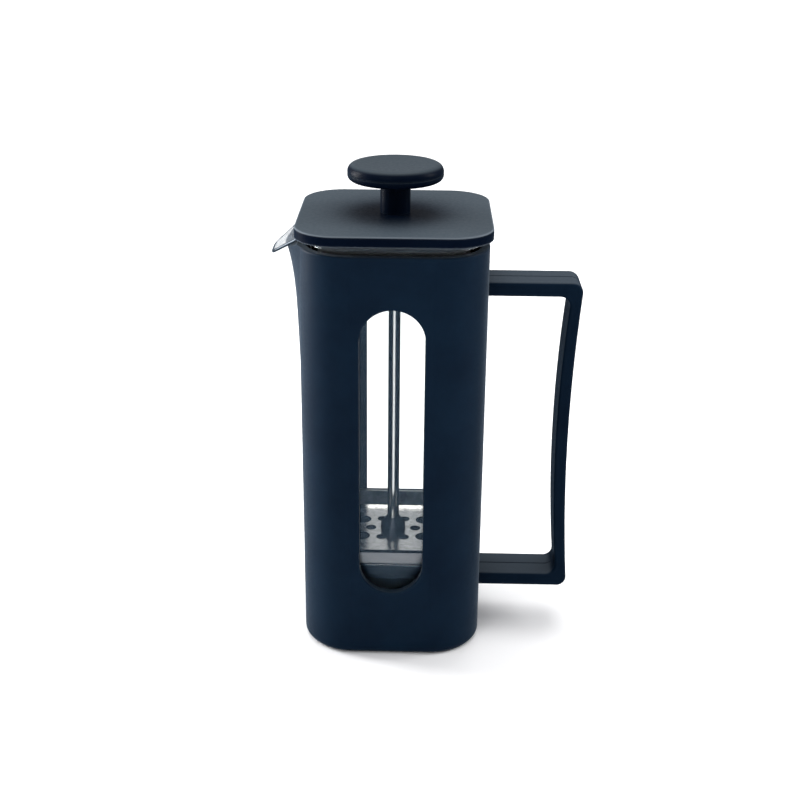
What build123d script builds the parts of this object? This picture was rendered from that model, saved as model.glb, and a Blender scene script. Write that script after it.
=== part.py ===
from build123d import *
from math import cos, radians, sin, tan
import os

# French press with a square body: a plastic sleeve with a strap handle holds a glass beaker,
# and a flat lid carries the plunger. Millimetres, +Z up, origin at the centre of the base,
# +X towards the handle and -X towards the pouring lip.

# Sleeve
sleeve_width = 75.5
sleeve_height = 175.5
sleeve_corner = 21.25
sleeve_wall = 3.0
sleeve_floor = 3.2
base_round = 3.3
sleeve_top_round = 0.8
window_side_margin = 3.5
window_bottom = 30.1
window_top = 154.4
window_edge_round = 0.6

# Cradle in the sleeve and the matching flare in the beaker, under the pouring lip
flare_bottom = 100.0
flare_sunk = 0.8
flare_low = 129.0
flare_low_reach = 1.3
flare_middle = 150.0
flare_middle_reach = 2.3
flare_high = 162.0
flare_high_reach = 3.7
flare_top = 170.8
flare_reach = 6.3
flare_spread = 32.0
flare_root_inset = 0.4

# Handle
handle_depth = 18.6
handle_thickness = 6.1
grip_thickness = 5.1
handle_projection = 39.0
handle_bow = 3.1
handle_top = 157.7
handle_bottom = 18.2
handle_outer_top_round = 4.5
handle_outer_bottom_round = 4.0
handle_inner_round = 4.0
handle_edge_round = 1.4
parting_width = 0.5
parting_depth = 0.25
tongue_length = 2.0
tongue_depth = 11.0
tongue_thickness = 2.6
tongue_gap = 0.05

# Beaker and the silicone seat that it stands on
seat_thickness = 2.0
seat_inset = 4.6
seat_width = 6.0
beaker_gap = 1.15
glass_wall = 2.8
glass_floor = 3.6
glass_bottom_round = 5.0
glass_floor_round = 4.0
rim_stand = 4.05
bead_height = 2.8
bead_reach = 1.8
bead_round = 0.9
lip_projection = 16.1
lip_corner_reach = 6.9
lip_tip_half_width = 6.6
lip_tip_round = 7.0
lip_droop = 10.9
lip_thickness = 1.4
lip_edge_round = 0.4
lip_gap = 0.7

# Lid
lid_width = 77.6
lid_corner = 17.0
lid_thickness = 4.3
lid_edge_round = 0.8
lid_gap = 0.05
plug_gap = 0.7
plug_plate = 1.8
plug_wall = 1.8
plug_depth = 11.0
plug_seat_gap = 0.1
pour_slot_width = 2.2
pour_slot_height = 7.0
pour_slot_pitch = 4.4
pour_slot_count = 5
bush_diameter = 8.0
bush_flange_diameter = 12.0
bush_flange = 1.6
bush_seat_gap = 0.05
rod_running_gap = 0.06

# Knob
knob_diameter = 38.5
knob_thickness = 6.6
knob_stand = 13.1
knob_seam_height = 2.9
seam_chamfer = 0.25
seam_band = 0.6
knob_round = 3.0
knob_dish = 0.7
knob_dish_diameter = 31.0
neck_diameter = 12.1
neck_fillet = 2.5
neck_gap = 0.1
cap_spigot_diameter = 29.0
cap_spigot_depth = 1.4
cap_fit_gap = 0.05
insert_diameter = 7.6
insert_length = 9.5
insert_inset = 1.0
insert_fit_gap = 0.02

# Plunger rod
rod_diameter = 5.0
stud_diameter = 4.0
stud_gap = 0.05
upper_stud_length = 8.5
rod_chamfer = 0.4

# Filter
plate_top = 41.4
sheet_thickness = 0.8
tray_mesh_gap = 1.7
tray_border = 6.35
tray_rise = 4.4
inner_hole_diameter = 4.6
hole_collar_margin = 2.1
outer_hole_diameter = 6.8
hole_edge_margin = 3.05
inner_hole_count = 6
outer_hole_angle = 30.0
mesh_thickness = 0.5
mesh_side_gap = 0.5
mesh_rise = 4.2
mesh_bend = 0.9
support_inset = 0.4
support_border = 5.0
support_spoke = 6.0
support_hub_diameter = 15.0
support_window_round = 3.0
collar_diameter = 10.6
collar_height = 2.5
collar_cone_height = 3.1
collar_cone_diameter = 6.4
spigot_diameter = 7.0
spigot_gap = 0.05
washer_diameter = 10.0
washer_thickness = 0.8
nut_flats = 7.0
nut_height = 3.2
nut_dome = 2.4
stud_reach_in_nut = 3.4

# Derived levels and half widths
sleeve_half = sleeve_width / 2
handle_reach = sleeve_half + handle_projection
straight_half = sleeve_half - sleeve_corner
window_width = 2 * (straight_half - window_side_margin)
lip_root_half_width = straight_half + lip_corner_reach
sleeve_inner_half = sleeve_half - sleeve_wall
floor_top = sleeve_floor
glass_outer_half = sleeve_inner_half - beaker_gap
glass_inner_half = glass_outer_half - glass_wall
seat_half = glass_outer_half - glass_bottom_round - seat_inset
bead_half = glass_outer_half + bead_reach
lip_reach = glass_outer_half + lip_projection
beaker_bottom = floor_top + seat_thickness
glass_floor_top = beaker_bottom + glass_floor
rim_top = sleeve_height + rim_stand
lid_bottom = rim_top + lid_gap
lid_top = lid_bottom + lid_thickness
plug_half = glass_inner_half - plug_gap
plug_pocket_half = plug_half + plug_seat_gap
plug_plate_bottom = lid_bottom
plug_plate_top = plug_plate_bottom + plug_plate
plug_bottom = lid_bottom - plug_depth
bush_bore = rod_diameter + 2 * rod_running_gap
bush_hole = bush_diameter + 2 * bush_seat_gap
neck_bottom = lid_top + neck_gap
knob_underside = lid_top + knob_stand
knob_seam = knob_underside + knob_seam_height
knob_top = knob_underside + knob_thickness
dish_radius = (knob_dish_diameter ** 2 / 4 + knob_dish ** 2) / (2 * knob_dish)
insert_bottom = neck_bottom + insert_inset
insert_top = insert_bottom + insert_length
stud_hole = stud_diameter + 2 * stud_gap
rod_hole = rod_diameter + 2 * rod_running_gap
tray_bottom = plate_top - sheet_thickness
tray_rim_top = plate_top + tray_rise
mesh_top = plate_top + mesh_rise
mesh_bottom = tray_bottom - mesh_thickness
mesh_outer_half = glass_inner_half - mesh_side_gap
mesh_inner_half = mesh_outer_half - mesh_thickness
tray_rim_half = mesh_inner_half - tray_mesh_gap
tray_flat_half = tray_rim_half - tray_border
inner_hole_circle = collar_diameter / 2 + hole_collar_margin + inner_hole_diameter / 2
outer_hole_circle = tray_flat_half - hole_edge_margin - outer_hole_diameter / 2
support_bottom = mesh_bottom - sheet_thickness
support_half = mesh_outer_half - support_inset
washer_bottom = support_bottom - washer_thickness
nut_bottom = washer_bottom - nut_height
rod_shoulder = tray_bottom
far_out = 4 * sleeve_width


def rounded_square(half):
    """Square with rounded corners, concentric with the sleeve's own outline."""
    RectangleRounded(2 * half, 2 * half, half - straight_half)


def flare(wall_half, level):
    """Beak on the -X wall, tangent to both corners in plan, that curls outward up to the given level."""
    turn = radians(flare_spread)
    root_radius = wall_half - straight_half - flare_root_inset
    root_x = straight_half + root_radius * cos(turn)
    root_y = straight_half + root_radius * sin(turn)
    slope = (flare_reach - flare_high_reach) / (flare_top - flare_high)
    level_reach = flare_high_reach + slope * (level - flare_high)
    stations = ((flare_bottom, -flare_sunk), (flare_low, flare_low_reach),
                (flare_middle, flare_middle_reach), (flare_high, flare_high_reach), (level, level_reach))
    with BuildPart() as beak:
        for height, reach in stations:
            tip = wall_half + reach
            shoulder = root_y - (tip - root_x) / tan(turn)
            with BuildSketch(Plane.XY.offset(height)):
                with BuildLine():
                    Bezier((-root_x, -root_y), (-tip, -shoulder), (-tip, 0))
                    Bezier((-tip, 0), (-tip, shoulder), (-root_x, root_y))
                    Polyline((-root_x, root_y), (-straight_half, root_y),
                             (-straight_half, -root_y), (-root_x, -root_y))
                make_face()
        loft()
    return beak.part


def lip_level(x):
    """Height of the lip's upper face at the given x, level as far as the bead and then sloping down."""
    return rim_top - lip_droop * max(0, -x - bead_half) / (lip_reach - bead_half)


def strap(inset, depth):
    """Loop of the handle between its two roots, drawn in by inset on its outer and inner faces."""
    outer_x = handle_reach - inset
    inner_x = handle_reach - grip_thickness + inset
    top = handle_top - inset
    upper = handle_top - handle_thickness + inset
    bottom = handle_bottom + inset
    lower = handle_bottom + handle_thickness - inset
    middle = (handle_top + handle_bottom) / 2
    with BuildPart() as loop:
        with BuildSketch(Plane.XZ):
            with BuildLine():
                Line((sleeve_half, top), (outer_x, top))
                ThreePointArc((outer_x, top), (outer_x - handle_bow, middle), (outer_x, bottom))
                Polyline((outer_x, bottom), (sleeve_half, bottom), (sleeve_half, lower), (inner_x, lower))
                ThreePointArc((inner_x, lower), (inner_x - handle_bow, middle), (inner_x, upper))
                Polyline((inner_x, upper), (sleeve_half, upper), (sleeve_half, top))
            make_face()
        extrude(amount=depth / 2, both=True)
        corners = loop.edges().filter_by(Axis.Y).group_by(Axis.X)
        outer = corners[-1].sort_by(Axis.Z)
        inner = corners[-2]
        fillet(outer[-1], handle_outer_top_round - inset)
        fillet(outer[0], handle_outer_bottom_round - inset)
        fillet(inner, handle_inner_round + inset)
    return loop.part


sleeve_flare = flare(sleeve_half, sleeve_height)
sleeve_flare_inside = flare(sleeve_inner_half, sleeve_height)
beaker_flare = flare(glass_outer_half, rim_top)
beaker_flare_inside = flare(glass_inner_half, rim_top)

# Sleeve: one shell with a window front and back, a cradle for the lip and two sockets
with BuildPart() as sleeve:
    with BuildSketch():
        rounded_square(sleeve_half)
    extrude(amount=sleeve_height)
    fillet(sleeve.faces().sort_by(Axis.Z)[0].edges(), base_round)
    fillet(sleeve.faces().sort_by(Axis.Z)[-1].edges(), sleeve_top_round)
    add(sleeve_flare)
    with BuildSketch(Plane.XY.offset(floor_top)):
        rounded_square(sleeve_inner_half)
    extrude(amount=sleeve_height, mode=Mode.SUBTRACT)
    add(sleeve_flare_inside, mode=Mode.SUBTRACT)
    with BuildSketch(Plane.XZ):
        with Locations((0, (window_bottom + window_top) / 2)):
            SlotOverall(window_top - window_bottom, window_width, rotation=90)
    extrude(amount=sleeve_width, both=True, mode=Mode.SUBTRACT)
    for wall in sleeve.faces().filter_by(Axis.Y).filter_by(
            lambda face: abs(face.center().Y) > sleeve_half - sleeve_wall / 2):
        fillet(wall.inner_wires()[0].edges(), window_edge_round)
    with BuildSketch(Plane.XZ):
        with BuildLine():
            below_lip = lip_thickness + lip_gap
            Polyline((-bead_half, rim_top - below_lip), (-far_out, lip_level(-far_out) - below_lip),
                     (-far_out, rim_top), (-bead_half, rim_top), close=True)
        make_face()
    extrude(amount=sleeve_width, both=True, mode=Mode.SUBTRACT)
    for arm_middle in (handle_top - handle_thickness / 2, handle_bottom + handle_thickness / 2):
        with BuildSketch(Plane.YZ.offset(sleeve_half)):
            with Locations((0, arm_middle)):
                Rectangle(tongue_depth + 2 * tongue_gap, tongue_thickness + 2 * tongue_gap)
        extrude(amount=-(tongue_length + tongue_gap), mode=Mode.SUBTRACT)

# Handle: a flat strap bent into a loop, with a mould line along its middle and a tongue on each arm
with BuildPart() as handle:
    add(strap(0, handle_depth))
    sides = handle.faces().filter_by(Axis.Y).edges()
    fillet(sides.filter_by(lambda edge: edge.center().X > sleeve_half + handle_edge_round),
           handle_edge_round)
    add(strap(0, parting_width), mode=Mode.SUBTRACT)
    add(strap(parting_depth, parting_width))
    for arm_middle in (handle_top - handle_thickness / 2, handle_bottom + handle_thickness / 2):
        with BuildSketch(Plane.YZ.offset(sleeve_half)):
            with Locations((0, arm_middle)):
                Rectangle(tongue_depth, tongue_thickness)
        extrude(amount=-tongue_length)

# Seat: a square silicone ring on the floor of the sleeve
with BuildPart() as beaker_seat:
    with BuildSketch(Plane.XY.offset(floor_top)):
        rounded_square(seat_half)
        rounded_square_hole = seat_half - seat_width
        RectangleRounded(2 * rounded_square_hole, 2 * rounded_square_hole, seat_width / 2,
                         mode=Mode.SUBTRACT)
    extrude(amount=seat_thickness)

# Beaker: a square glass with a beaded rim and a drooping lip
with BuildPart() as lip:
    with BuildSketch():
        with BuildLine():
            Polyline((-lip_reach, lip_tip_half_width), (-glass_outer_half, lip_root_half_width),
                     (-straight_half, lip_root_half_width), (-straight_half, -lip_root_half_width),
                     (-glass_outer_half, -lip_root_half_width), (-lip_reach, -lip_tip_half_width),
                     close=True)
        make_face()
    extrude(amount=far_out)
    fillet(lip.edges().filter_by(Axis.Z).group_by(Axis.X)[0], lip_tip_round)
    with BuildSketch(Plane.XZ):
        with BuildLine():
            Polyline((-straight_half, rim_top), (-bead_half, rim_top), (-lip_reach, lip_level(-lip_reach)),
                     (-lip_reach, lip_level(-lip_reach) - lip_thickness),
                     (-bead_half, rim_top - lip_thickness), (-straight_half, rim_top - lip_thickness),
                     close=True)
        make_face()
    extrude(amount=sleeve_width, both=True, mode=Mode.INTERSECT)
    outline = lip.edges().filter_by(Axis.Z, reverse=True).filter_by(
        lambda edge: edge.center().X < -bead_half - lip_edge_round)
    fillet(outline, lip_edge_round)

with BuildPart() as beaker:
    with BuildSketch(Plane.XY.offset(beaker_bottom)):
        rounded_square(glass_outer_half)
    extrude(amount=rim_top - beaker_bottom)
    fillet(beaker.faces().sort_by(Axis.Z)[0].edges(), glass_bottom_round)
    with BuildSketch(Plane.XY.offset(rim_top - bead_height)):
        rounded_square(glass_outer_half + bead_reach)
    extrude(amount=bead_height)
    bead_edges = beaker.edges().filter_by(GeomType.LINE).filter_by(
        lambda edge: max(abs(edge.center().X), abs(edge.center().Y)) > glass_outer_half + bead_reach / 2)
    fillet(bead_edges, bead_round)
    add(beaker_flare)
    add(lip.part)
    with BuildSketch(Plane.XY.offset(glass_floor_top)):
        rounded_square(glass_inner_half)
    extrude(amount=rim_top, mode=Mode.SUBTRACT)
    add(beaker_flare_inside, mode=Mode.SUBTRACT)
    with BuildSketch(Plane.XZ):
        with BuildLine():
            Polyline((-bead_half, rim_top), (-far_out, lip_level(-far_out)), (-far_out, 2 * rim_top),
                     (-bead_half, 2 * rim_top), close=True)
        make_face()
    extrude(amount=sleeve_width, both=True, mode=Mode.SUBTRACT)
    floor_edges = beaker.faces().filter_by(Plane.XY).filter_by(
        lambda face: abs(face.center().Z - glass_floor_top) < glass_floor / 2)[0].edges()
    fillet(floor_edges, glass_floor_round)

# Lid cover: the flat square top, with a pocket below for the plug
with BuildPart() as lid_cover:
    with BuildSketch(Plane.XY.offset(lid_bottom)):
        RectangleRounded(lid_width, lid_width, lid_corner)
    extrude(amount=lid_thickness)
    fillet(lid_cover.faces().sort_by(Axis.Z)[-1].edges(), lid_edge_round)
    with BuildSketch(Plane.XY.offset(lid_bottom)):
        rounded_square(plug_pocket_half)
    extrude(amount=plug_plate, mode=Mode.SUBTRACT)
    with BuildSketch(Plane.XY.offset(lid_bottom)):
        Circle(bush_hole / 2)
    extrude(amount=lid_thickness, mode=Mode.SUBTRACT)

# Lid plug: a skirt that goes down into the beaker, slotted on the side of the lip
with BuildPart() as lid_plug:
    with BuildSketch(Plane.XY.offset(plug_bottom)):
        rounded_square(plug_half)
    extrude(amount=plug_plate_top - plug_bottom)
    with BuildSketch(Plane.XY.offset(plug_bottom)):
        rounded_square(plug_half - plug_wall)
    extrude(amount=plug_plate_bottom - plug_bottom, mode=Mode.SUBTRACT)
    with BuildSketch(Plane.XY.offset(plug_bottom)):
        Circle(bush_hole / 2)
    extrude(amount=plug_plate_top - plug_bottom, mode=Mode.SUBTRACT)
    with BuildSketch(Plane.YZ.offset(-plug_half)):
        with Locations((0, (plug_bottom + plug_plate_bottom) / 2)):
            with GridLocations(pour_slot_pitch, 1, pour_slot_count, 1):
                SlotOverall(pour_slot_height, pour_slot_width, rotation=90)
    extrude(amount=2 * plug_wall, both=True, mode=Mode.SUBTRACT)

# Rod bush: a flanged guide pushed up through the plug and the cover
with BuildPart() as rod_bush:
    with BuildSketch(Plane.XY.offset(plug_plate_bottom - bush_flange)):
        Circle(bush_flange_diameter / 2)
    extrude(amount=bush_flange)
    with BuildSketch(Plane.XY.offset(plug_plate_bottom)):
        Circle(bush_diameter / 2)
    extrude(amount=lid_top - plug_plate_bottom)
    with BuildSketch(Plane.XY.offset(plug_plate_bottom - bush_flange)):
        Circle(bush_bore / 2)
    extrude(amount=lid_top - plug_plate_bottom + bush_flange, mode=Mode.SUBTRACT)

# Knob body: the neck and the lower half of the disc
with BuildPart() as knob_body:
    with BuildSketch(Plane.XZ):
        with BuildLine():
            Polyline((0, neck_bottom), (neck_diameter / 2, neck_bottom),
                     (neck_diameter / 2, knob_underside), (knob_diameter / 2, knob_underside),
                     (knob_diameter / 2, knob_seam), (cap_spigot_diameter / 2, knob_seam),
                     (cap_spigot_diameter / 2, knob_seam - cap_spigot_depth),
                     (0, knob_seam - cap_spigot_depth), close=True)
        make_face()
    revolve(axis=Axis.Z)
    rings = knob_body.edges().filter_by(GeomType.CIRCLE)
    fillet(rings.filter_by(lambda edge: abs(edge.radius - neck_diameter / 2) < neck_gap)
           .sort_by(Axis.Z)[-1], neck_fillet)
    fillet(rings.filter_by(lambda edge: abs(edge.radius - knob_diameter / 2) < neck_gap)
           .sort_by(Axis.Z)[0], knob_seam - knob_underside - seam_band)
    outside = knob_body.edges().filter_by(GeomType.CIRCLE).filter_by(
        lambda edge: abs(edge.radius - knob_diameter / 2) < neck_gap)
    chamfer(outside.sort_by(Axis.Z)[-1], seam_chamfer)
    with BuildSketch(Plane.XY.offset(neck_bottom)):
        Circle(rod_hole / 2)
    extrude(amount=insert_inset, mode=Mode.SUBTRACT)
    with BuildSketch(Plane.XY.offset(insert_bottom)):
        Circle(insert_diameter / 2 + insert_fit_gap)
    extrude(amount=insert_length, mode=Mode.SUBTRACT)

# Knob cap: the dished upper half of the disc, with a spigot that plugs into the body
with BuildPart() as knob_cap:
    with BuildSketch(Plane.XZ):
        with BuildLine():
            Polyline((0, knob_seam - cap_spigot_depth + cap_fit_gap),
                     (cap_spigot_diameter / 2 - cap_fit_gap, knob_seam - cap_spigot_depth + cap_fit_gap),
                     (cap_spigot_diameter / 2 - cap_fit_gap, knob_seam), (knob_diameter / 2, knob_seam),
                     (knob_diameter / 2, knob_top), (0, knob_top))
            Line((0, knob_top), (0, knob_seam - cap_spigot_depth + cap_fit_gap))
        make_face()
    revolve(axis=Axis.Z)
    rings = knob_cap.edges().filter_by(GeomType.CIRCLE)
    fillet(rings.filter_by(lambda edge: abs(edge.radius - knob_diameter / 2) < neck_gap)
           .sort_by(Axis.Z)[-1], knob_round)
    outside = knob_cap.edges().filter_by(GeomType.CIRCLE).filter_by(
        lambda edge: abs(edge.radius - knob_diameter / 2) < neck_gap)
    chamfer(outside.sort_by(Axis.Z)[0], seam_chamfer)
    with Locations((0, 0, knob_top - knob_dish + dish_radius)):
        Sphere(dish_radius, mode=Mode.SUBTRACT)

# Knob insert: a brass sleeve with the thread's bore, moulded into the neck
with BuildPart() as knob_insert:
    with BuildSketch(Plane.XY.offset(insert_bottom)):
        Circle(insert_diameter / 2)
        Circle(stud_hole / 2, mode=Mode.SUBTRACT)
    extrude(amount=insert_length)

# Plunger rod: a bar with a thinner stud at each end
with BuildPart() as plunger_rod:
    with BuildSketch(Plane.XY.offset(rod_shoulder)):
        Circle(rod_diameter / 2)
    extrude(amount=insert_bottom - rod_shoulder)
    with BuildSketch(Plane.XY.offset(insert_bottom)):
        Circle(stud_diameter / 2)
    extrude(amount=upper_stud_length)
    with BuildSketch(Plane.XY.offset(rod_shoulder)):
        Circle(stud_diameter / 2)
    extrude(amount=-(rod_shoulder - washer_bottom + stud_reach_in_nut))
    ends = plunger_rod.faces().filter_by(Plane.XY).sort_by(Axis.Z)
    chamfer(ends[0].edges() + ends[-1].edges(), rod_chamfer)

# Rod collar: a round foot with a cone above, whose spigot passes through the tray
with BuildPart() as rod_collar:
    with BuildSketch(Plane.XZ):
        with BuildLine():
            Polyline((rod_hole / 2, tray_bottom), (spigot_diameter / 2, tray_bottom),
                     (spigot_diameter / 2, plate_top), (collar_diameter / 2, plate_top),
                     (collar_diameter / 2, plate_top + collar_height),
                     (collar_cone_diameter / 2, plate_top + collar_height + collar_cone_height),
                     (rod_hole / 2, plate_top + collar_height + collar_cone_height), close=True)
        make_face()
    revolve(axis=Axis.Z)

# Filter tray: the pressed plate with a ring of holes, four larger ones outside it and a flared border
with BuildPart() as filter_tray:
    with BuildSketch(Plane.XY.offset(tray_bottom)):
        rounded_square(tray_flat_half)
    with BuildSketch(Plane.XY.offset(tray_rim_top)):
        rounded_square(tray_rim_half)
    loft()
    with BuildSketch(Plane.XY.offset(plate_top)):
        rounded_square(tray_flat_half)
    with BuildSketch(Plane.XY.offset(tray_rim_top)):
        rounded_square(tray_rim_half - sheet_thickness)
    loft(mode=Mode.SUBTRACT)
    with BuildSketch(Plane.XY.offset(tray_bottom)):
        Circle(spigot_diameter / 2 + spigot_gap)
        with PolarLocations(inner_hole_circle, inner_hole_count):
            Circle(inner_hole_diameter / 2)
        with GridLocations(2 * outer_hole_circle * cos(radians(outer_hole_angle)),
                           2 * outer_hole_circle * sin(radians(outer_hole_angle)), 2, 2):
            Circle(outer_hole_diameter / 2)
    extrude(amount=sheet_thickness, mode=Mode.SUBTRACT)

# Filter mesh: the fine sheet under the tray, turned up all round against the glass
with BuildPart() as filter_mesh:
    with BuildSketch(Plane.XY.offset(mesh_bottom)):
        rounded_square(mesh_outer_half)
    extrude(amount=mesh_top - mesh_bottom)
    fillet(filter_mesh.faces().sort_by(Axis.Z)[0].edges(), mesh_bend)
    with BuildSketch(Plane.XY.offset(tray_bottom)):
        rounded_square(mesh_inner_half)
    extrude(amount=mesh_top - tray_bottom, mode=Mode.SUBTRACT)
    with BuildSketch(Plane.XY.offset(mesh_bottom)):
        Circle(stud_hole / 2)
    extrude(amount=mesh_thickness, mode=Mode.SUBTRACT)

# Support plate: the open plate that holds the mesh up from below
with BuildPart() as support_plate:
    opening_half = support_half - support_border
    with BuildSketch(Plane.XY.offset(support_bottom)):
        rounded_square(support_half)
        with GridLocations(opening_half + support_spoke / 2, opening_half + support_spoke / 2, 2, 2):
            RectangleRounded(opening_half - support_spoke / 2, opening_half - support_spoke / 2,
                             support_window_round, mode=Mode.SUBTRACT)
        Circle(support_hub_diameter / 2)
        Circle(stud_hole / 2, mode=Mode.SUBTRACT)
    extrude(amount=sheet_thickness)

# Lock washer under the support plate
with BuildPart() as lock_washer:
    with BuildSketch(Plane.XY.offset(washer_bottom)):
        Circle(washer_diameter / 2)
        Circle(stud_hole / 2, mode=Mode.SUBTRACT)
    extrude(amount=washer_thickness)

# Cap nut: a six-sided nut with a closed dome below
with BuildPart() as cap_nut:
    with BuildSketch(Plane.XY.offset(nut_bottom)):
        RegularPolygon(nut_flats / 2, 6, major_radius=False)
    extrude(amount=nut_height)
    with BuildSketch(Plane.XZ):
        with BuildLine():
            Line((0, nut_bottom), (nut_flats / 2, nut_bottom))
            RadiusArc((nut_flats / 2, nut_bottom), (0, nut_bottom - nut_dome),
                      (nut_flats ** 2 / 4 + nut_dome ** 2) / (2 * nut_dome))
            Line((0, nut_bottom - nut_dome), (0, nut_bottom))
        make_face()
    revolve(axis=Axis.Z)
    with BuildSketch(Plane.XY.offset(washer_bottom)):
        Circle(stud_hole / 2)
    extrude(amount=-(stud_reach_in_nut + stud_gap), mode=Mode.SUBTRACT)

nodes = {
    "sleeve": sleeve, "handle": handle, "beaker_seat": beaker_seat, "beaker": beaker,
    "lid_cover": lid_cover, "lid_plug": lid_plug, "rod_bush": rod_bush,
    "knob_body": knob_body, "knob_cap": knob_cap, "knob_insert": knob_insert,
    "plunger_rod": plunger_rod, "rod_collar": rod_collar, "filter_tray": filter_tray,
    "filter_mesh": filter_mesh, "support_plate": support_plate, "lock_washer": lock_washer,
    "cap_nut": cap_nut,
}
os.makedirs("parts", exist_ok=True)
for node_name, node in nodes.items():
    node.part.label = node_name
    export_step(node.part, f"parts/{node_name}.step")
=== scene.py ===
import bpy
import math
from mathutils import Matrix, Vector

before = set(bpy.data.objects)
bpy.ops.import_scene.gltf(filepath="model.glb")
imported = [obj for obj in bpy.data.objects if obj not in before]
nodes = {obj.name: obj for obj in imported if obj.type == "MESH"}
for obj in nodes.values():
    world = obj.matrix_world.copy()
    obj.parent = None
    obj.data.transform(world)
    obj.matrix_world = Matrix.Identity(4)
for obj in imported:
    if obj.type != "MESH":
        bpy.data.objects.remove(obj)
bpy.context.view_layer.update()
scene = bpy.context.scene
scene.view_settings.view_transform = "Standard"
scene.view_settings.look = "None"

# Camera of the photograph, solved from the outlines of the sleeve, lid, knob and handle
CAMERA_TURN = math.radians(1.284)
CAMERA_TILT = math.radians(21.659)
CAMERA_ROLL = math.radians(0.409)
CAMERA_PLACE = (0.011418, -0.509291, 0.313399)
CAMERA_LENS = 58.360
CAMERA_SHIFT = (0.00730, -0.02498)
SENSOR_WIDTH = 36.0
CLIP_START = 0.01

# Scales of the patterns in the materials, for coordinates in metres
PLASTIC_TINT_SCALE = 45
PLASTIC_GRAIN_SCALE = 2200
ROUGHNESS_SCALE = 700
STREAK_SCALE = 500
WEAVE_SCALE = 560
GLASS_TINT_SCALE = 12
GLASS_ROUGHNESS_SCALE = 30
GLASS_WAVE_SCALE = 16
FLOOR_TINT_SCALE = 3

# Heights of the bumps in the materials, in metres
FINE_BUMP = 0.0001
WEAVE_BUMP = 0.0002
GLASS_BUMP = 0.0005

# Reach of edges lightened by wear and painted highlight, of painted dark glass edges, of painted shade in
# crevices and of painted shadow under close pieces, in metres
PLASTIC_EDGE = 0.0008
GLASS_EDGE = 0.0009
CREVICE_SHADE_REACH = 0.0025
PAINTED_SHADOW_REACH = 0.03

# The pouring lip, in metres: its root, wall and tip along -X, and its sides along the way that they face.
# Of each pair, the first is where a mask begins and the second where it is white.
LIP_ROOT = (0.0338, 0.0344)
LIP_WALL = (0.0338, 0.035)
LIP_TIP = (0.0485, 0.0488)
LIP_SIDE = (0.0392, 0.0395)
LIP_SIDE_WAY = (-0.722, 0.692, 0)

# Upward faces of the sleeve below this height are its inner floor
INNER_FLOOR_BELOW = 0.004
INNER_FLOOR_FACING = 0.9

# Floor, sky and lights
FLOOR_SIZE = 80
MIRRORED_FLOOR = (0.08, 0.13, 0.19)
SKY_STRENGTH = 1.5
SKY_HORIZON = (0.14, 0.15, 0.16)
SKY_GREYS = ((0.35, 0.19), (0.6, 0.38), (0.85, 0.8))
SKY_BLUE = 1.03
LIGHTS = (
    ("key_softbox", (0.0, 2.5, 6.5), (0, 0, 0.15), (4.5, 4.5), 230),
    ("left_softbox", (-0.9, 0.3, 0.35), (0, 0, 0.12), (0.3, 0.7), 14),
    ("right_softbox", (0.9, 0.1, 0.6), (0, 0, 0.12), (0.3, 0.6), 4.5),
    ("front_softbox", (-0.5, -1.2, 0.9), (0, 0, 0.12), (0.5, 0.5), 2),
)


def make_camera():
    right = Vector((math.cos(CAMERA_TURN), math.sin(CAMERA_TURN), 0))
    level = Vector((-math.sin(CAMERA_TURN), math.cos(CAMERA_TURN), 0))
    ahead = level * math.cos(CAMERA_TILT) - Vector((0, 0, math.sin(CAMERA_TILT)))
    up = right.cross(ahead)
    rolled_right = right * math.cos(CAMERA_ROLL) + up * math.sin(CAMERA_ROLL)
    rolled_up = up * math.cos(CAMERA_ROLL) - right * math.sin(CAMERA_ROLL)
    data = bpy.data.cameras.new("photo_camera")
    data.sensor_width = SENSOR_WIDTH
    data.lens = CAMERA_LENS
    data.shift_x, data.shift_y = CAMERA_SHIFT
    data.clip_start = CLIP_START
    camera = bpy.data.objects.new("photo_camera", data)
    scene.collection.objects.link(camera)
    turned = Matrix((rolled_right, rolled_up, -ahead)).transposed().to_4x4()
    camera.matrix_world = Matrix.Translation(CAMERA_PLACE) @ turned
    scene.camera = camera


# Shader helpers
def feed(node, sockets):
    """Set each named socket of a node to a value, or link it to the output of another node."""
    for name, value in sockets.items():
        if isinstance(value, bpy.types.NodeSocket):
            node.id_data.links.new(value, node.inputs[name])
        else:
            node.inputs[name].default_value = value


def add_node(tree, kind, sockets=None, **settings):
    node = tree.nodes.new("ShaderNode" + kind)
    for name, value in settings.items():
        setattr(node, name, value)
    feed(node, sockets or {})
    return node


def new_material(name):
    material = bpy.data.materials.new(name)
    material.use_nodes = True
    tree = material.node_tree
    return material, tree, tree.nodes["Principled BSDF"]


def coordinates(tree, stretch=(1, 1, 1)):
    source = add_node(tree, "TexCoord")
    return add_node(tree, "Mapping", {"Vector": source.outputs["Object"], "Scale": stretch}).outputs["Vector"]


def axes(tree, vector):
    return add_node(tree, "SeparateXYZ", {"Vector": vector}).outputs


def surface_normal(tree):
    return add_node(tree, "NewGeometry").outputs["Normal"]


def noise(tree, vector, scale, detail=4.0):
    sockets = {"Vector": vector, "Scale": scale, "Detail": detail, "Roughness": 0.55}
    return add_node(tree, "TexNoise", sockets).outputs["Fac"]


def ramp(tree, value, low, high, at=(0.35, 0.65)):
    node = add_node(tree, "ValToRGB", {"Fac": value})
    for stop, position, colour in zip(node.color_ramp.elements, at, (low, high)):
        stop.position = position
        stop.color = (*colour, 1)
    return node.outputs["Color"]


def rescale(tree, value, start, end, low=0.0, high=1.0, **settings):
    """The value, mapped from start and end to low and high and kept between these."""
    sockets = {"Value": value, "From Min": start, "From Max": end, "To Min": low, "To Max": high}
    return add_node(tree, "MapRange", sockets, **settings).outputs["Result"]


def spread(tree, pattern, low, high):
    """A noise pattern, spread over the whole way from low to high."""
    return rescale(tree, pattern, 0.3, 0.7, low, high)


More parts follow.
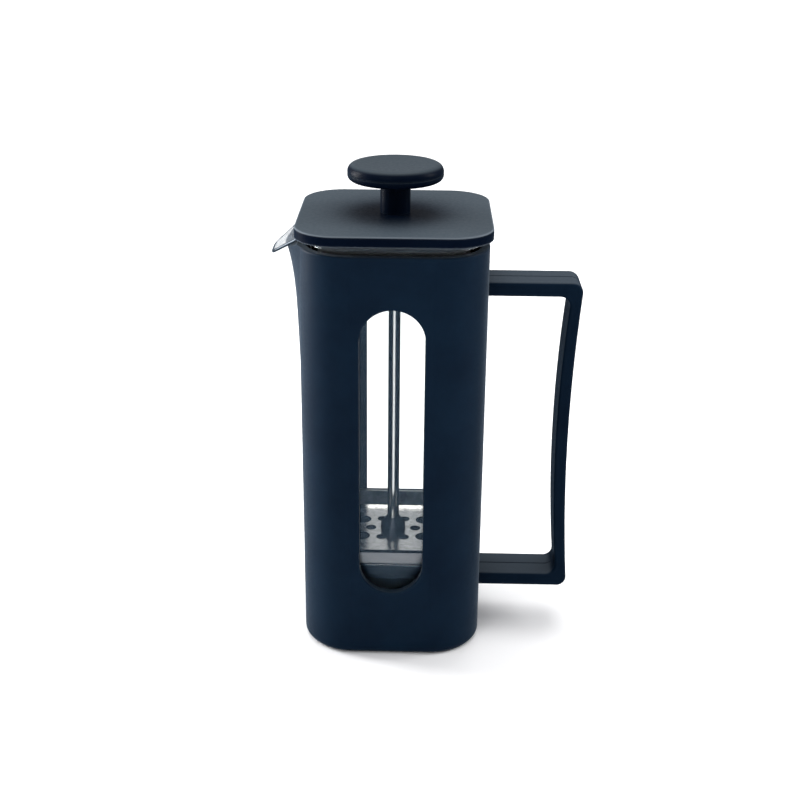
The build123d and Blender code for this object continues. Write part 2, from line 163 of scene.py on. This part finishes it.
def bump(tree, shader, height, strength, distance):
    node = add_node(tree, "Bump", {"Height": height, "Strength": strength, "Distance": distance})
    feed(shader, {"Normal": node.outputs["Normal"]})


def dot(tree, first, second):
    return add_node(tree, "VectorMath", {0: first, 1: second}, operation="DOT_PRODUCT").outputs["Value"]


def combine(tree, operation, first, second):
    return add_node(tree, "Math", {0: first, 1: second}, operation=operation, use_clamp=True).outputs["Value"]


def multiply(tree, first, second):
    return combine(tree, "MULTIPLY", first, second)


def largest(tree, first, second):
    return combine(tree, "MAXIMUM", first, second)


def without(tree, first, second):
    """What is left of the first mask once the second is taken away."""
    return combine(tree, "SUBTRACT", first, second)


def blend_colours(tree, mask, low, high):
    return add_node(tree, "Mix", {"Factor": mask, 6: low, 7: (*high, 1)}, data_type="RGBA").outputs[2]


# Masks
def edge_mask(tree, radius):
    """White on sharp edges: where a rounded normal turns away from the true one."""
    soft = add_node(tree, "Bevel", {"Radius": radius}, samples=4)
    return rescale(tree, dot(tree, soft.outputs["Normal"], surface_normal(tree)), 0.995, 0.9)


def upward_mask(tree, start=0.55, end=0.97):
    """White on faces that look up."""
    height = axes(tree, surface_normal(tree))["Z"]
    return rescale(tree, height, start, end, interpolation_type="SMOOTHSTEP")


def rounded_mask(tree):
    """White on rounded edges between an upper face and a side, where the lid gets a painted highlight."""
    return without(tree, upward_mask(tree, 0.2, 0.45), upward_mask(tree, 0.85, 0.98))


def crevice_mask(tree, reach, open_at=0.75, closed_at=0.3):
    """White in holes and narrow gaps, where a surface sees little but its neighbours."""
    shade = add_node(tree, "AmbientOcclusion", {"Distance": reach}, samples=8)
    return rescale(tree, shade.outputs["AO"], open_at, closed_at)


def graze_mask(tree, start, end):
    """White where the eye grazes a surface."""
    graze = add_node(tree, "LayerWeight", {"Blend": 0.3})
    return rescale(tree, graze.outputs["Facing"], start, end)


def outside_mask(tree, place, start, end):
    """White on the lip's side, beyond a distance from the axis."""
    return rescale(tree, axes(tree, place)["X"], -start, -end)


def painted_dark_lip_rim_mask(tree, place):
    """White along the rim of the pouring lip: its two slanting sides and its tip, where the glass gets a
    painted dark rim.
    """
    where = axes(tree, place)
    across = add_node(tree, "Math", {0: where["Y"]}, operation="ABSOLUTE").outputs["Value"]
    half = add_node(tree, "CombineXYZ", {"X": where["X"], "Y": across}).outputs["Vector"]
    sides = rescale(tree, dot(tree, half, LIP_SIDE_WAY), *LIP_SIDE)
    outline = largest(tree, sides, outside_mask(tree, place, *LIP_TIP))
    return multiply(tree, outline, outside_mask(tree, place, *LIP_ROOT))


# Materials
def moulded_plastic(name, dark, light, wear_and_highlight, painted_top_light, rough, level, sheen=0.0, grain=0.1, painted_shadow_under_neighbours=False,
                    painted_highlight_rounds=False):
    """Plastic with a fine grain, painted light on its upper faces and edges lightened by wear and a painted
    highlight.
    """
    material, tree, shader = new_material(name)
    place = coordinates(tree)
    tint = ramp(tree, noise(tree, place, PLASTIC_TINT_SCALE), dark, light)
    # Painted light: upward faces take a paler colour, as if lit from above.
    lit_from_above = upward_mask(tree)
    # Painted shadow: under close pieces, such as the knob over the lid, the paler top colour is taken away
    # again.
    if painted_shadow_under_neighbours:
        lit_from_above = without(tree, lit_from_above, crevice_mask(tree, PAINTED_SHADOW_REACH, 0.97, 0.45))
    tint = blend_colours(tree, lit_from_above, tint, painted_top_light)
    # Edges lighter from wear and from a painted highlight; the lid also gets a painted highlight on its
    # rounded top edges.
    edges = edge_mask(tree, PLASTIC_EDGE)
    if painted_highlight_rounds:
        edges = largest(tree, edges, rounded_mask(tree))
    feed(shader, {
        "Base Color": blend_colours(tree, edges, tint, wear_and_highlight),
        "Roughness": spread(tree, noise(tree, place, ROUGHNESS_SCALE), *rough),
        "Specular IOR Level": level,
        "Sheen Weight": sheen,
        "Sheen Roughness": 0.35,
        "Sheen Tint": (0.78, 0.9, 1.0, 1),
    })
    bump(tree, shader, noise(tree, place, PLASTIC_GRAIN_SCALE, 2.0), grain, FINE_BUMP)
    return material


def metal(name, dark, light, painted_crevice_shade, rough, grain, stretch=(1, 1, 1), painted_dark_reflection=None, rim_shine=1.0):
    """Metal with streaks, painted shade in its crevices and, for some metals, a painted dark reflection where
    the eye grazes it.
    """
    material, tree, shader = new_material(name)
    streaks = noise(tree, coordinates(tree, stretch), STREAK_SCALE, 3.0)
    # Painted shade: crevices, holes and narrow gaps take a near-black colour.
    tint = blend_colours(tree, crevice_mask(tree, CREVICE_SHADE_REACH), ramp(tree, streaks, dark, light), painted_crevice_shade)
    # Painted reflection: where the eye grazes the metal, a dark colour stands in for the dark surroundings
    # that it reflects.
    if painted_dark_reflection:
        tint = blend_colours(tree, graze_mask(tree, 0.06, 0.25), tint, painted_dark_reflection)
    feed(shader, {
        "Base Color": tint,
        "Roughness": spread(tree, streaks, *rough),
        "Metallic": 1.0,
        "Specular Tint": (rim_shine, rim_shine, rim_shine, 1),
    })
    bump(tree, shader, streaks, grain, FINE_BUMP)
    return material


def woven_metal(name):
    """Fine wire mesh whose upper faces are painted near black and not metallic, a painted shade for the shadow
    under the plate above.
    """
    material, tree, shader = new_material(name)
    place = coordinates(tree)
    wires = []
    for way in ("X", "Y", "Z"):
        wave = add_node(tree, "TexWave", {"Vector": place, "Scale": WEAVE_SCALE}, bands_direction=way)
        wires.append(wave.outputs["Fac"])
    weave = multiply(tree, multiply(tree, wires[0], wires[1]), wires[2])
    tint = ramp(tree, weave, (0.2, 0.2, 0.21), (0.66, 0.66, 0.66), (0.0, 0.5))
    # Painted shade: upward faces of the mesh are near black and not metallic.
    painted_shade_below_plate = upward_mask(tree)
    feed(shader, {
        "Base Color": blend_colours(tree, painted_shade_below_plate, tint, (0.02, 0.021, 0.023)),
        "Roughness": spread(tree, noise(tree, place, ROUGHNESS_SCALE), 0.32, 0.5),
        "Metallic": without(tree, 1.0, painted_shade_below_plate),
        "Specular IOR Level": 0.0,
    })
    bump(tree, shader, weave, 0.6, WEAVE_BUMP)
    return material


def clear_glass(name):
    """Clear glass that darkens where the eye grazes it, partly for the longer path through it and partly as a
    painted dark reflection, with painted dark sharp edges and a painted near-black, opaque rim on the pouring
    lip.
    """
    material, tree, shader = new_material(name)
    place = coordinates(tree)
    tint = ramp(tree, noise(tree, place, GLASS_TINT_SCALE), (0.92, 0.945, 0.95), (0.95, 0.965, 0.97))
    # Darker where the eye grazes the sides: partly the longer path through the glass, partly a painted dark
    # reflection.
    side = without(tree, graze_mask(tree, 0.7, 1.0), outside_mask(tree, place, *LIP_WALL))
    # Painted dark rim on the pouring lip: near black and letting no light through.
    rim = painted_dark_lip_rim_mask(tree, place)
    tint = blend_colours(tree, side, tint, (0.16, 0.19, 0.215))
    # Painted dark edges: sharp glass edges take a near-black colour.
    tint = blend_colours(tree, edge_mask(tree, GLASS_EDGE), tint, (0.015, 0.02, 0.025))
    feed(shader, {
        "Base Color": blend_colours(tree, rim, tint, (0.01, 0.013, 0.016)),
        "Roughness": spread(tree, noise(tree, place, GLASS_ROUGHNESS_SCALE, 1.0), 0.0, 0.006),
        "Transmission Weight": without(tree, 1.0, rim),
        "IOR": 1.47,
        "Specular Tint": (0.4, 0.6, 0.82, 1),
    })
    bump(tree, shader, noise(tree, place, GLASS_WAVE_SCALE, 0.0), 0.015, GLASS_BUMP)
    return material


def dress(name, *materials):
    mesh = nodes[name].data
    mesh.materials.clear()
    for material in materials:
        mesh.materials.append(material)


def paint_light_on_inner_floor(mesh):
    """Give the floor inside the sleeve the second of its two materials, the pale silicone, as painted light
    that makes the shaded floor look lit.
    """
    for face in mesh.polygons:
        if face.normal.z > INNER_FLOOR_FACING and face.center.z < INNER_FLOOR_BELOW:
            face.material_index = 1


make_camera()

shell = moulded_plastic(
    "shell_plastic", dark=(0.0016, 0.009, 0.0225), light=(0.0023, 0.012, 0.028), wear_and_highlight=(0.01, 0.022, 0.038),
    painted_top_light=(0.014, 0.026, 0.041), rough=(0.38, 0.5), level=0.06, sheen=0.17)
strap_plastic = moulded_plastic(
    "strap_plastic", dark=(0.0018, 0.0075, 0.018), light=(0.0028, 0.0105, 0.0235), wear_and_highlight=(0.02, 0.03, 0.044),
    painted_top_light=(0.042, 0.055, 0.07), rough=(0.38, 0.5), level=0.03)
# The lid's pale edge colour is a painted highlight along its rounded top edges.
lid_plastic = moulded_plastic(
    "lid_plastic", dark=(0.0009, 0.0032, 0.0102), light=(0.0014, 0.0045, 0.0128), wear_and_highlight=(0.115, 0.137, 0.16),
    painted_top_light=(0.051, 0.065, 0.078), rough=(0.3, 0.42), level=0.02, painted_shadow_under_neighbours=True, painted_highlight_rounds=True)
knob_plastic = moulded_plastic(
    "knob_plastic", dark=(0.0009, 0.0032, 0.0098), light=(0.0014, 0.0045, 0.0122), wear_and_highlight=(0.009, 0.015, 0.024),
    painted_top_light=(0.041, 0.053, 0.064), rough=(0.3, 0.42), level=0.03)
plug_plastic = moulded_plastic(
    "plug_plastic", dark=(0.19, 0.2, 0.21), light=(0.24, 0.25, 0.26), wear_and_highlight=(0.3, 0.31, 0.32),
    painted_top_light=(0.24, 0.25, 0.26), rough=(0.3, 0.42), level=0.3)
bush_plastic = moulded_plastic(
    "bush_plastic", dark=(0.02, 0.022, 0.026), light=(0.03, 0.032, 0.036), wear_and_highlight=(0.06, 0.06, 0.065),
    painted_top_light=(0.04, 0.042, 0.046), rough=(0.3, 0.4), level=0.4, grain=0.05)
# Pale blue-grey silicone, made pale for the beaker seat; the sleeve's inner floor also takes it, as painted
# light.
silicone = moulded_plastic(
    "silicone", dark=(0.24, 0.33, 0.42), light=(0.3, 0.4, 0.5), wear_and_highlight=(0.36, 0.45, 0.54),
    painted_top_light=(0.3, 0.4, 0.5), rough=(0.5, 0.65), level=0.2)
steel = metal(
    "polished_steel", dark=(0.76, 0.75, 0.72), light=(0.92, 0.91, 0.88), painted_crevice_shade=(0.06, 0.062, 0.065),
    rough=(0.13, 0.2), grain=0.03)
rod_steel = metal(
    "drawn_steel", dark=(0.5, 0.5, 0.5), light=(0.62, 0.62, 0.62), painted_crevice_shade=(0.2, 0.2, 0.21),
    rough=(0.08, 0.15), grain=0.02, stretch=(1, 1, 0.02), painted_dark_reflection=(0.02, 0.022, 0.025), rim_shine=0.08)
dark_steel = metal(
    "turned_steel", dark=(0.05, 0.054, 0.066), light=(0.08, 0.085, 0.1), painted_crevice_shade=(0.02, 0.02, 0.025),
    rough=(0.12, 0.2), grain=0.05, stretch=(1, 1, 8), rim_shine=0.1)
brass = metal(
    "brass", dark=(0.62, 0.42, 0.16), light=(0.78, 0.56, 0.24), painted_crevice_shade=(0.2, 0.12, 0.05),
    rough=(0.2, 0.35), grain=0.05, stretch=(1, 1, 6))

# The sleeve's inner floor takes the pale silicone as painted light.
dress("sleeve", shell, silicone)
paint_light_on_inner_floor(nodes["sleeve"].data)
dress("lid_plug", plug_plastic)
dress("handle", strap_plastic)
dress("lid_cover", lid_plastic)
for part in ("knob_body", "knob_cap"):
    dress(part, knob_plastic)
for part in ("filter_tray", "support_plate", "lock_washer", "cap_nut"):
    dress(part, steel)
dress("rod_collar", dark_steel)
dress("plunger_rod", rod_steel)
dress("filter_mesh", woven_metal("woven_steel"))
dress("beaker", clear_glass("beaker_glass"))
dress("beaker_seat", silicone)
dress("rod_bush", bush_plastic)
dress("knob_insert", brass)


# Floor and light
def make_floor():
    """Pale floor that reflections see as a dim table, so that it lays no white veil on glass and plastic."""
    bpy.ops.mesh.primitive_plane_add(size=FLOOR_SIZE, location=(0, 0, 0))
    floor = bpy.context.object
    floor.name = "floor"
    material, tree, shader = new_material("floor_paint")
    pale = ramp(tree, noise(tree, coordinates(tree), FLOOR_TINT_SCALE), (0.93, 0.93, 0.93), (0.95, 0.95, 0.95))
    path = add_node(tree, "LightPath").outputs
    mirrored = without(tree, path["Is Glossy Ray"], path["Is Transmission Ray"])
    feed(shader, {"Base Color": blend_colours(tree, mirrored, pale, MIRRORED_FLOOR), "Roughness": 0.7})
    floor.data.materials.append(material)


def area_light(name, place, aim, size, power):
    data = bpy.data.lights.new(name, "AREA")
    data.shape = "RECTANGLE"
    data.size, data.size_y = size
    data.energy = power
    light = bpy.data.objects.new(name, data)
    light.location = place
    light.rotation_euler = (Vector(aim) - Vector(place)).to_track_quat("-Z", "Y").to_euler()
    scene.collection.objects.link(light)


def make_sky():
    """Studio sky: bright overhead and dim towards the horizon, so that glass and metal get dark edges."""
    world = bpy.data.worlds.new("studio")
    world.use_nodes = True
    tree = world.node_tree
    height = axes(tree, add_node(tree, "TexCoord").outputs["Generated"])["Z"]
    sky = add_node(tree, "ValToRGB", {"Fac": height})
    stops = sky.color_ramp.elements
    stops[0].position, stops[0].color = 0.0, (*SKY_HORIZON, 1)
    stops[1].position, stops[1].color = 1.0, (1.0, 1.0, 1.0, 1)
    for position, grey in SKY_GREYS:
        stops.new(position).color = (grey, grey, grey * SKY_BLUE, 1)
    back = tree.nodes["Background"]
    feed(back, {"Color": sky.outputs["Color"], "Strength": SKY_STRENGTH})
    white = add_node(tree, "Background", {"Color": (1, 1, 1, 1), "Strength": 1.0})
    pick = add_node(tree, "MixShader", {
        "Fac": add_node(tree, "LightPath").outputs["Is Camera Ray"],
        1: back.outputs["Background"],
        2: white.outputs["Background"],
    })
    feed(tree.nodes["World Output"], {"Surface": pick.outputs["Shader"]})
    scene.world = world


make_floor()
make_sky()
for light in LIGHTS:
    area_light(*light)
